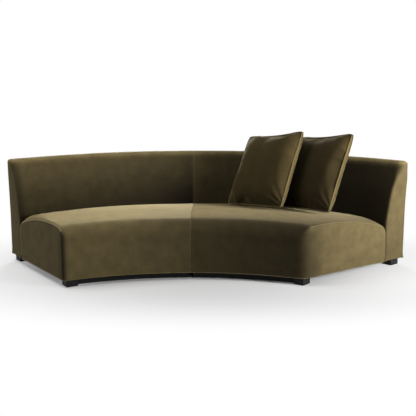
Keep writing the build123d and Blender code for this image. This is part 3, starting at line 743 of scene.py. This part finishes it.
# seat from the seam to the end panel, with its end seam and hem
def makeSeat(side):
    shape = seatShape
    corner, endRun = endFrame(side)[:2]
    seatRear = plan["rearRadius"] - plan["backThickness"] - shape["backGap"]

    def section(share):
        shift = np.array([sideSign[side] * plan["halfGap"] * (1 - share), 0.0])
        front = frontPoint(side, share) + shift
        run = unit(rearPoint(side, share) + shift - front)
        rear = circleMeet(front, run, rearCentreY, seatRear)
        loop, labels = seatLoop(side, np.linalg.norm(rear - front), seatEndShare(side, share))
        return np.column_stack([front + run * loop[:, :1], loop[:, 1]])

    loop, labels = seatLoop(side, shape["trialDepth"], 1.0)
    endEdge = np.full(len(labels), shape["endRoll"])
    endEdge[labels == "face"] = shape["cornerRoll"][side]
    for name, size in shape["lowRolls"].items():
        endEdge[labels == name] = size
    endEdge = tightenLow(softenRows(endEdge, 3), loop[:, 1])
    seamEdge = np.where(labels == "crown", shape["crownSeamRoll"], 1.0) * sweep["seamRoll"]
    seamEdge = tightenLow(softenRows(seamEdge, 3), loop[:, 1])
    frontEdge = np.flatnonzero(labels == "edge")[:shape["rows"]["frontEdge"]]
    crease = np.where(labels == "face", 1.0, 0.0)
    crease[frontEdge[:shape["creaseRows"]]] = np.linspace(1, 0, shape["creaseRows"])
    crease = softenRows(crease, 2) * shape["cornerCrease"][side]
    points, faces, marks = sweptBody(side, section, shape, seamEdge, endEdge, crease)

    # the upright corner between front face and end panel is stuffed round
    soft = shape["cornerSoft"][side]
    fromEnd = distanceFromEnd(side, points)
    fromFront = np.hypot(points[:, 0], points[:, 1] + plan["frontRadius"]) - plan["frontRadius"]
    fromFront = np.maximum(fromFront, 0)
    if soft > 0:
        near = ramp(fromEnd + fromFront, soft, 0)
        frontRun = unit(frontPoint(side, shape["cornerChord"]) - corner)
        inward = unit(frontRun + endRun)
        points[:, :2] += inward * (soft * (frontRun @ inward) / 2 * near**2)[:, None]

    # painted light and shade turn gradually round that corner, or painted shade lies dark in its crease,
    # with a painted shade line beside the end rim on top
    toneAndLight = seatToneAndPaintedLight
    looks = toneAndLight[side]
    upper = np.isin(labels, ("crown", "edge")).astype(float)
    upper[frontEdge] = np.linspace(0, 1, len(frontEdge)) ** 2 * toneAndLight["edgeLight"][side]
    crownRows = np.flatnonzero(labels == "crown")
    upper[crownRows[:toneAndLight["crownRows"]]] = np.linspace(toneAndLight["crownLight"], 1, toneAndLight["crownRows"])
    upper = softenRows(upper, 2)
    tonesAndPaintedLight = toneAndPaintedLightValues(marks, upper, looks)
    below = ramp(shape["crest"] - points[:, 2], *toneAndLight["belowCrest"])
    if soft > 0:
        turn = smoothStep(ramp(fromFront - fromEnd, *toneAndLight["cornerTurn"]))
        around = looks["front"][-1] + (looks["end"] - looks["front"][-1]) * turn
        tonesAndPaintedLight += (around - tonesAndPaintedLight) * ramp(fromEnd, *toneAndLight["cornerReach"]) * below
    else:
        endWidth, frontWidth = toneAndLight["creaseWidths"]
        tonesAndPaintedLight *= 1 - toneAndLight["creaseShade"] * below * hump(fromEnd / endWidth + fromFront / frontWidth, 0, 1)
        onTop = np.concatenate([np.tile(upper, len(marks["shares"])), [0, 0]])
        tonesAndPaintedLight *= 1 - toneAndLight["rimShade"] * onTop * hump(fromEnd, toneAndLight["rimPlace"], toneAndLight["rimWidth"])

    # a shallow groove in the crown runs beside the end seam, with painted shade in it
    size = marks["size"]
    grooved = (marks["endMiddle"] - shape["grooveRings"]) * size + crownRows
    points[grooved, 2] -= shape["topGroove"][side]
    tonesAndPaintedLight[grooved] *= shape["grooveShade"][side]
    points = rowPlace(points)
    piece = finishBody(f"{side}Seat", points, faces, tonesAndPaintedLight, shape["seed"][side])

    # the left end panel takes a copy of the velvet with less sheen, its tone and sheen set to match how
    # light fell on it
    if f"{side}End" in sofaVelvet:
        piece.data.materials.append(sofaVelvet[f"{side}End"])
        ringFaces = (len(marks["shares"]) - 1) * size
        for number, polygon in enumerate(piece.data.polygons):
            capFace = number - ringFaces
            onEnd = number >= marks["endMiddle"] * size if capFace < 0 else capFace % 2 == 1
            polygon.material_index = int(onEnd)

    rings = points[:-2].reshape(-1, size, 3)
    finish = sofaVelvet[f"{side}Seat"]
    seamRows = np.flatnonzero(np.isin(labels, ("edge", "crown", "rear")))[shape["seamStart"][side]:]
    seamLine = rings[marks["endMiddle"], seamRows]
    seam = sewnCord(f"{side}SeatSeam", seamLine, shape["seamCord"][side], finish, shape["seamRubAndHighlight"][side])
    frontHem = rings[marks["seamEnd"]:marks["endFlat"] + 1, shape["hemRow"]]
    endHem = rings[marks["endFlat"], np.flatnonzero(labels == "under")[::-1]]
    hemLine = np.concatenate([frontHem, endHem])
    hemLine[:, 2] = plan["hemHeight"] + shape["hemLift"]
    hem = sewnCord(f"{side}SeatHem", hemLine, shape["hemCord"], finish, shape["hemRubAndHighlight"])
    return piece, [seam, hem]


# back from the seam to the end, its rear face upright and its front leaning
def makeBack(side):
    shape = backShape
    corner, endRun, endOut = endFrame(side)
    loop = backLoop()
    thickness, heights = loop.T
    radii = plan["rearRadius"] - thickness
    startAngle = np.arcsin(plan["halfGap"] / radii) * sideSign[side]
    ends = np.array([circleMeet(corner, endRun, rearCentreY, r) for r in radii])
    endAngle = np.arctan2(ends[:, 0], ends[:, 1] - rearCentreY)

    def section(share):
        angle = startAngle + (endAngle - startAngle) * share
        return np.column_stack([radii * np.sin(angle), rearCentreY + radii * np.cos(angle), heights])

    lowRoll = shape["endRoll"][side]
    topRoll = shape["topEndRoll"][side]
    endEdge = tightenLow(lowRoll + (topRoll - lowRoll) * ramp(heights, *shape["rollHeights"]), heights)
    seamEdge = tightenLow(np.full(len(loop), sweep["seamRoll"]), heights)
    points, faces, marks = sweptBody(side, section, shape, seamEdge, endEdge, np.zeros(len(loop)))
    fromEnd = distanceFromEnd(side, points)
    flare = ramp(fromEnd, shape["flareReach"], 0) ** 2 * ramp(points[:, 2], *shape["flareHeights"]) ** 2
    alongEnd, outward = shape["endFlare"][side]
    points[:, :2] += (endRun * alongEnd + endOut * outward) * flare[:, None]

    # painted light and shade: lighter upwards, painted shade beside the end and a painted highlight along
    # the top
    toneAndLight = backToneAndPaintedLight
    top = plan["backHeight"]
    upper = ramp(heights, toneAndLight["upperStart"], top)
    rearRows = ramp(thickness, toneAndLight["rearDepth"], 0) * ramp(top - heights, *toneAndLight["rearBelowTop"])
    tonesAndPaintedLight = toneAndPaintedLightValues(marks, upper, toneAndLight[side], rearRows)
    shade = hump(fromEnd, toneAndLight["shadePlace"], toneAndLight["shadeWidth"]) * (fromEnd > toneAndLight["shadeStart"])
    tonesAndPaintedLight *= 1 - toneAndLight["endShade"][side] * shade
    topHighlightShare = ramp(top - points[:, 2], *toneAndLight["highlightBelowTop"])
    tonesAndPaintedLight += (toneAndLight["topHighlight"] - tonesAndPaintedLight) * topHighlightShare * (tonesAndPaintedLight < toneAndLight["topHighlight"])
    points = rowPlace(points)
    return finishBody(f"{side}Back", points, faces, tonesAndPaintedLight, shape["seed"][side])


for side in sideSign:
    body = f"{side}_section"
    seat, trims = makeSeat(side)
    back = makeBack(side)
    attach(seat, body)
    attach(back, body)
    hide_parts(f"{side}_seat_cover", f"{side}_seat_foam", f"{side}_webbing")
    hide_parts(f"{side}_back_cover", f"{side}_back_foam")
    for trim in trims:
        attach(trim, body)
print("seats and backs made")

dustShape = {
    "columns": 40, "rows": 24, "inset": 0.0123, "lift": 0.0004,
    "thickness": 0.0014, "ripple": 0.0004, "rippleScale": 9, "seed": 2.0,
}


# black cloth stapled under the frame, a little rippled
def makeDustCloth(side):
    shape = dustShape
    inset = shape["inset"]
    columns = shape["columns"]
    rows = shape["rows"]
    endOut = endFrame(side)[2]
    grid = []
    for i in range(columns + 1):
        share = i / columns
        shift = np.array([sideSign[side] * (plan["halfGap"] + inset), 0.0]) * (1 - share)
        shift = shift - endOut * inset * share
        point = frontPoint(side, share) + shift
        run = unit(rearPoint(side, share) + shift - point)
        front = circleMeet(point, run, -plan["frontRadius"], plan["frontRadius"] + inset)
        rear = circleMeet(point, run, rearCentreY, plan["rearRadius"] - inset)
        grid.append([front + (rear - front) * j / rows for j in range(rows + 1)])
    grid = np.array(grid)
    flat = grid.reshape(-1, 2)
    scale = shape["rippleScale"]
    points = []
    for level in (0.0, shape["thickness"]):
        for x, y in flat:
            wave = noise.noise(Vector((x * scale, y * scale, shape["seed"]))) * shape["ripple"]
            points.append((x, y, plan["hemHeight"] + shape["lift"] + level + wave))
    count = len(flat)
    faces = twinGridFaces(columns, rows)
    border = gridBorder(columns, rows)
    faces += bandFaces([border, [count + k for k in border]])
    piece = meshPiece(f"{side}DustCloth", rowPlace(np.array(points)), faces, dustFelt)
    rising = grid[1:, 1:] - grid[:-1, :-1]
    falling = grid[:-1, 1:] - grid[1:, :-1]
    area = np.sum(np.abs(rising[..., 0] * falling[..., 1] - rising[..., 1] * falling[..., 0])) / 2
    return piece, np.ptp(flat, 0), area


for side in sideSign:
    cloth, flat, area = makeDustCloth(side)
    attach(cloth, f"{side}_section")
    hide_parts(f"{side}_dust_cover")
print("dust cloths made")

# pillows, with corners and sides counted as -1 or 1 across and upwards
pillowShape = {
    "size": 0.55, "thickness": 0.172, "gusset": 0.026,
    "gussetShares": (0.25, 0.5, 0.75),
    "gussetSwell": (-0.004, 0.003, -0.004),
    "draw": {"x": 0.006, "top": 0.021, "bottom": 0.006},
    "cornerShift": {
        (-1, 1): (0.030, -0.010),
        (1, 1): (0.008, 0.018),
        (-1, -1): (-0.012, 0.0),
        (1, -1): (-0.012, -0.012),
    },
    "cornerDraw": {(-1, 1): 0.030, (1, 1): 0.032, (-1, -1): 0.020, (1, -1): 0.034},
    "cornerPower": 8, "cornerPinch": 0.6, "pinchPower": 6,
    "edgeEase": 0.62, "edgeReach": 0.042, "edgeCells": 2.2,
    "cells": 46, "startRise": 0.75, "startPower": 0.7, "shake": 0.0006,
    "frames": 20, "cap": 0.06, "smoothing": 12,
    "seamCord": 0.0028, "seamGroove": 0.004, "seamRubAndHighlight": 0.6,
    "folds": {
        "corner": (1, -1),
        "number": 14,
        "turn": 0.8,
        "height": 0.0046,
        "reach": 0.055,
        "levels": (0.004, 0.014),
    },
    "gussetToneAndLight": 0.45, "lightRise": 0.06, "rightLight": 0.09, "rightLightStart": 0.4,
}
pillowCloth = {
    "quality": 6,
    "mass": 0.25,
    "tension_stiffness": 30,
    "compression_stiffness": 30,
    "shear_stiffness": 12,
    "bending_stiffness": 0.6,
    "use_pressure": True,
    "uniform_pressure_force": 3.2,
    "air_damping": 2,
}
pillowPose = {
    "left": {"along": 0.5656, "twist": 35.5, "lean": 26.5, "roll": 7.0, "seed": 6, "toneAndPaintedLight": 0.185},
    "right": {"along": 0.9947, "twist": 28.5, "lean": 25.0, "roll": 5.5, "seed": 9, "toneAndPaintedLight": 0.120},
}


def pillowAxes(pose):
    turn = -pose["along"] / plan["rearRadius"] - math.radians(pose["twist"])
    lean = math.radians(pose["lean"])
    roll = math.radians(pose["roll"])
    along = np.array([math.cos(turn), math.sin(turn), 0.0])
    upward = np.array([-math.sin(turn) * math.sin(lean), math.cos(turn) * math.sin(lean), math.cos(lean)])
    across = along * math.cos(roll) + upward * math.sin(roll)
    rising = upward * math.cos(roll) - along * math.sin(roll)
    return np.stack([across, rising, np.cross(across, rising)])


# the narrow gusset between two panel outlines, drawn in beside each seam
def gussetRows(front, rear):
    rows = []
    for share, out in zip(pillowShape["gussetShares"], pillowShape["gussetSwell"]):
        row = front + (rear - front) * share
        row[:, :2] += out * row[:, :2] / np.linalg.norm(row[:, :2], axis=1)[:, None]
        rows.append(row)
    return np.concatenate(rows)


# two sewn panels on a narrow gusset, before filling
def pillowBlank(name, seed):
    shape = pillowShape
    cells = shape["cells"]
    half = shape["size"] / 2
    wide = cells + 1
    spread = np.linspace(-1, 1, wide)
    a, b = np.meshgrid(spread, spread, indexing="ij")
    x = a * half
    y = b * half
    rise = shape["startRise"] * (shape["thickness"] - shape["gusset"]) / 2
    z = shape["gusset"] / 2 + rise * ((1 - a**2) * (1 - b**2)) ** shape["startPower"]
    shake = np.random.default_rng(seed).normal(0, shape["shake"], (2, wide, wide))
    front = np.stack([x, y, z + shake[0]], -1).reshape(-1, 3)
    rear = np.stack([x, y, -z - shake[1]], -1).reshape(-1, 3)
    count = wide * wide
    faces = twinGridFaces(cells, cells)
    border = gridBorder(cells, cells)
    points = np.concatenate([front, rear, gussetRows(front[border], rear[border])])
    gusset = indexRows(len(shape["gussetShares"]), len(border), 2 * count)
    faces += bandFaces([border, *gusset, [count + k for k in border]])
    piece = meshPiece(name, points, faces, pillowVelvet)
    return piece, border, count


# fills the sewn blank by cloth pressure and returns the settled points
def fillPillow(piece):
    shape = pillowShape
    scene = bpy.context.scene
    start = pointsOf(piece.data)
    cloth = piece.modifiers.new("filling", "CLOTH")
    for name, value in pillowCloth.items():
        setattr(cloth.settings, name, value)
    cloth.settings.effector_weights.gravity = 0
    cloth.collision_settings.use_collision = False
    cloth.point_cache.frame_start = 1
    cloth.point_cache.frame_end = shape["frames"]
    for number in range(1, shape["frames"] + 1):
        scene.frame_set(number)
    settled = piece.evaluated_get(bpy.context.evaluated_depsgraph_get()).to_mesh()
    moved = pointsOf(settled)
    piece.modifiers.remove(cloth)
    scene.frame_set(1)
    step = moved - start
    length = np.linalg.norm(step, axis=1)[:, None]
    return start + step * np.minimum(1, shape["cap"] / np.maximum(length, 1e-9))


# evens out the small creases of a filled panel
def smoothPanel(panel):
    for step in range(pillowShape["smoothing"]):
        around = panel[:-2, 1:-1] + panel[2:, 1:-1] + panel[1:-1, :-2] + panel[1:-1, 2:]
        panel[1:-1, 1:-1] += (around / 4 - panel[1:-1, 1:-1]) / 2


# where a panel's outline lies: sides drawn in a little, corners rounded each by its own amount
def panelEdge(along, draw, lowCorner, highCorner):
    shape = pillowShape
    corners = shape["cornerDraw"]
    rounding = np.where(along > 0, corners[highCorner], corners[lowCorner])
    rounding = rounding * np.abs(along) ** shape["cornerPower"]
    return (shape["size"] / 2 - draw * (1 - along**2)) * (1 - rounding)


# lays a filled panel's outline on the sewn one and evens its edge
def trimPanel(panel, level):
    shape = pillowShape
    wide = panel.shape[0]
    along = np.linspace(-1, 1, wide)
    edgeLevel = level * (1 - shape["cornerPinch"] * np.abs(along) ** shape["pinchPower"])
    draw = shape["draw"]
    right = panelEdge(along, draw["x"], (1, -1), (1, 1))
    left = panelEdge(along, draw["x"], (-1, -1), (-1, 1))
    top = panelEdge(along, draw["top"], (-1, 1), (1, 1))
    bottom = panelEdge(along, draw["bottom"], (-1, -1), (1, -1))
    x = panel[:, :, 0]
    y = panel[:, :, 1]
    z = panel[:, :, 2]
    trimmed = panel.copy()
    trimmed[:, :, 0] = -left + (x - x[:1]) / (x[-1:] - x[:1]) * (left + right)
    rise = (y - y[:, :1]) / (y[:, -1:] - y[:, :1])
    trimmed[:, :, 1] = -bottom[:, None] + rise * (bottom + top)[:, None]
    for (signA, signB), shift in shape["cornerShift"].items():
        share = np.outer((1 + signA * along) / 2, (1 + signB * along) / 2)
        trimmed[:, :, :2] += share[:, :, None] * np.array(shift)
    cells = np.arange(wide)
    for axis in (0, 1):
        for edge in (0, wide - 1):
            fade = np.exp(-np.abs(cells - edge) / shape["edgeCells"])
            spare = np.take(z, edge, axis) - edgeLevel
            z = z - (np.outer(fade, spare) if axis == 0 else np.outer(spare, fade))
    inset = np.minimum(cells, wide - 1 - cells) * shape["size"] / (wide - 1)
    ease = 1 - shape["edgeEase"] * np.exp(-inset / shape["edgeReach"])
    eased = level + (z - level) * np.outer(ease, ease)
    z[1:-1, 1:-1] = eased[1:-1, 1:-1]
    trimmed[:, :, 2] = z
    return trimmed


# divides the mesh finely and presses small folds into it, which run out from a corner of the front panel
def addFolds(piece, axes, centre):
    folds = pillowShape["folds"]
    graph = bpy.context.evaluated_depsgraph_get()
    fine = bpy.data.meshes.new_from_object(piece.evaluated_get(graph))
    piece.modifiers.clear()
    piece.data = fine
    placed = pointsOf(fine)
    local = (placed - centre) @ axes.T
    across, rising = pillowShape["size"] / 2 - local[:, :2].T * np.array(folds["corner"])[:, None]
    share = np.hypot(across, rising) / folds["reach"]
    swing = np.cos(folds["number"] * np.arctan2(rising, across) + folds["turn"])
    lift = folds["height"] * swing * share * np.exp(1 - share)
    lift *= ramp(local[:, 2], *folds["levels"])
    fine.vertices.foreach_set("co", (placed + axes[2] * lift[:, None]).ravel())
    fine.update()


def makePillow(side):
    shape = pillowShape
    pose = pillowPose[side]
    piece, border, count = pillowBlank(f"{side}Pillow", pose["seed"])
    rearBorder = [count + k for k in border]
    points = pointsOf(piece.data)
    points = fillPillow(piece)
    points -= (points.max(0) + points.min(0)) / 2
    wide = shape["cells"] + 1
    panels = points[:2 * count].reshape(2, wide, wide, 3)
    for panel in panels:
        smoothPanel(panel)
    points[:, 2] *= shape["thickness"] / np.ptp(points[:, 2])
    for panel, facing in zip(panels, (1, -1)):
        panel[:] = trimPanel(panel, facing * shape["gusset"] / 2)
    points[2 * count:] = gussetRows(points[border], points[rearBorder])

    # the panel is drawn in beside its seam
    groove = np.zeros((wide, wide))
    groove[1:-1, 1:-1] = shape["seamGroove"]
    groove[2:-2, 2:-2] = 0
    panels[0, :, :, 2] -= groove
    panels[1, :, :, 2] += groove

    # it stands where its CAD solid does
    axes = pillowAxes(pose)
    solid = pointsOf(nodes[f"{side}_pillow_cover"].data) @ axes.T
    centre = (solid.max(0) + solid.min(0)) / 2 @ axes
    placed = points @ axes + centre
    piece.data.vertices.foreach_set("co", placed.ravel())
    piece.data.update()
    half = shape["size"] / 2
    # painted light: each panel is lighter upwards and towards its right side, and the gusset lighter
    # still
    tonesAndPaintedLight = pose["toneAndPaintedLight"] + shape["lightRise"] * points[:, 1] / half
    tonesAndPaintedLight += shape["rightLight"] * np.clip(points[:, 0] / half - shape["rightLightStart"], 0, 1)
    tonesAndPaintedLight[2 * count:] = shape["gussetToneAndLight"]
    setValues(piece, "toneAndPaintedLight", tonesAndPaintedLight)
    subdivide(piece)
    addFolds(piece, axes, centre)
    seams = []
    for name, line in (("FrontSeam", placed[border]), ("RearSeam", placed[rearBorder])):
        name = f"{side}Pillow{name}"
        seams.append(sewnCord(name, line, shape["seamCord"], pillowVelvet, shape["seamRubAndHighlight"], True))
    return piece, seams


for side in pillowPose:
    pillow, seams = makePillow(side)
    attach(pillow, f"{side}_pillow")
    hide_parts(f"{side}_pillow_cover", f"{side}_pillow_insert")
    for seam in seams:
        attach(seam, f"{side}_pillow")
print("pillows filled")

# floor, background and lamps
studio = {
    "floorCorners": ((-20, -12, 0), (20, -12, 0), (20, 30, 0), (-20, 30, 0)),
    "floorColour": (0.68, 0.68, 0.68, 1),
    "fade": (0.42, 1.5),
    "fadeWidth": 0.62,
    "worldLight": 0.18,
    # place, aim, size in metres, power in watts and spread in degrees
    "lamps": {
        "key": ((3.3, -1.7, 1.1), (0.7, 0.4, 0.80), 1.3, 47.5, 66),
        "top": ((-1.7, -0.4, 2.8), (-0.8, 0.0, 0.3), 2.2, 62.0, 180),
        "fill": ((-4.0, -1.8, 1.6), (-0.8, 0.0, 0.3), 2.0, 13.0, 180),
        "rear": ((-0.4, 4.4, 2.0), (0.0, 0.4, 0.5), 2.6, 75.0, 110),
    },
}


# one for the rays that show the background: seen directly, in gloss or through glass
def backgroundRays(tree):
    seen = addNode(tree, "LightPath", {}).outputs
    direct = addMath(tree, "MAXIMUM", seen["Is Camera Ray"], seen["Is Glossy Ray"])
    return addMath(tree, "MAXIMUM", direct, seen["Is Transmission Ray"])


# the lit shader gives way to the white one by the given share
def blendToWhite(tree, output, share, lit, white):
    blend = addNode(tree, "MixShader", {0: share, 1: lit.outputs[0], 2: white.outputs[0]})
    addNode(tree, output, {"Surface": blend.outputs["Shader"]})


# pale floor that keeps the shadow and fades to white further out
def makeFloor():
    mesh = bpy.data.meshes.new("floor")
    mesh.from_pydata(studio["floorCorners"], [], [(0, 1, 2, 3)])
    material, tree, shader = newMaterial("paleFloor")
    tree.nodes.clear()
    pale = addNode(tree, "BsdfDiffuse", {"Color": studio["floorColour"]})
    white = addNode(tree, "Emission", {"Strength": 1.0})
    place = addNode(tree, "NewGeometry", {}).outputs["Position"]
    narrowed = addNode(tree, "VectorMath", {0: place, 1: (studio["fadeWidth"], 1, 1)})
    narrowed.operation = "MULTIPLY"
    reach = addNode(tree, "VectorMath", {0: narrowed.outputs["Vector"]})
    reach.operation = "LENGTH"
    fade = addRange(tree, reach.outputs["Value"], studio["fade"], (0, 1), "SMOOTHSTEP")
    share = addMath(tree, "MULTIPLY", fade, backgroundRays(tree))
    blendToWhite(tree, "OutputMaterial", share, pale, white)
    mesh.materials.append(material)
    floor = addObject("floor", mesh)


def makeWorld():
    world = bpy.data.worlds.new("studio")
    bpy.context.scene.world = world
    world.use_nodes = True
    tree = world.node_tree
    tree.nodes.clear()
    light = addNode(tree, "Background", {"Color": (1, 1, 1, 1), "Strength": studio["worldLight"]})
    white = addNode(tree, "Background", {"Color": (1, 1, 1, 1), "Strength": 1.0})
    blendToWhite(tree, "OutputWorld", backgroundRays(tree), light, white)


def makeLamp(name, place, aim, size, power, spread):
    light = bpy.data.lights.new(name, "AREA")
    light.shape = "DISK"
    light.size = size
    light.energy = power
    light.spread = math.radians(spread)
    holder = addObject(name, light)
    holder.location = place
    holder.rotation_euler = (Vector(aim) - Vector(place)).to_track_quat("-Z", "Y").to_euler()


makeFloor()
makeWorld()
for name, lamp in studio["lamps"].items():
    makeLamp(f"{name}Lamp", *lamp)

cameraView = {
    "place": (0.0987, -6.2271, 1.6754),
    "pitch": 0.2053, "roll": 0.0045, "yaw": -0.0121,
    "focalPixels": 896.75, "imagePixels": 416, "centreDown": 5.27, "sensorWidth": 36,
}


def makeCamera():
    view = cameraView
    upright = math.pi / 2 - view["pitch"]
    turn = Matrix.Rotation(-view["yaw"], 4, "Z") @ Matrix.Rotation(upright, 4, "X")
    turn = turn @ Matrix.Rotation(-view["roll"], 4, "Z")
    camera = bpy.data.cameras.new("camera")
    camera.sensor_width = view["sensorWidth"]
    camera.lens = view["focalPixels"] / view["imagePixels"] * view["sensorWidth"]
    camera.shift_y = view["centreDown"] / view["imagePixels"]
    holder = addObject("camera", camera)
    holder.matrix_world = Matrix.Translation(view["place"]) @ turn
    bpy.context.scene.camera = holder


makeCamera()
bpy.context.scene.view_settings.view_transform = "Standard"
print("studio and camera set")
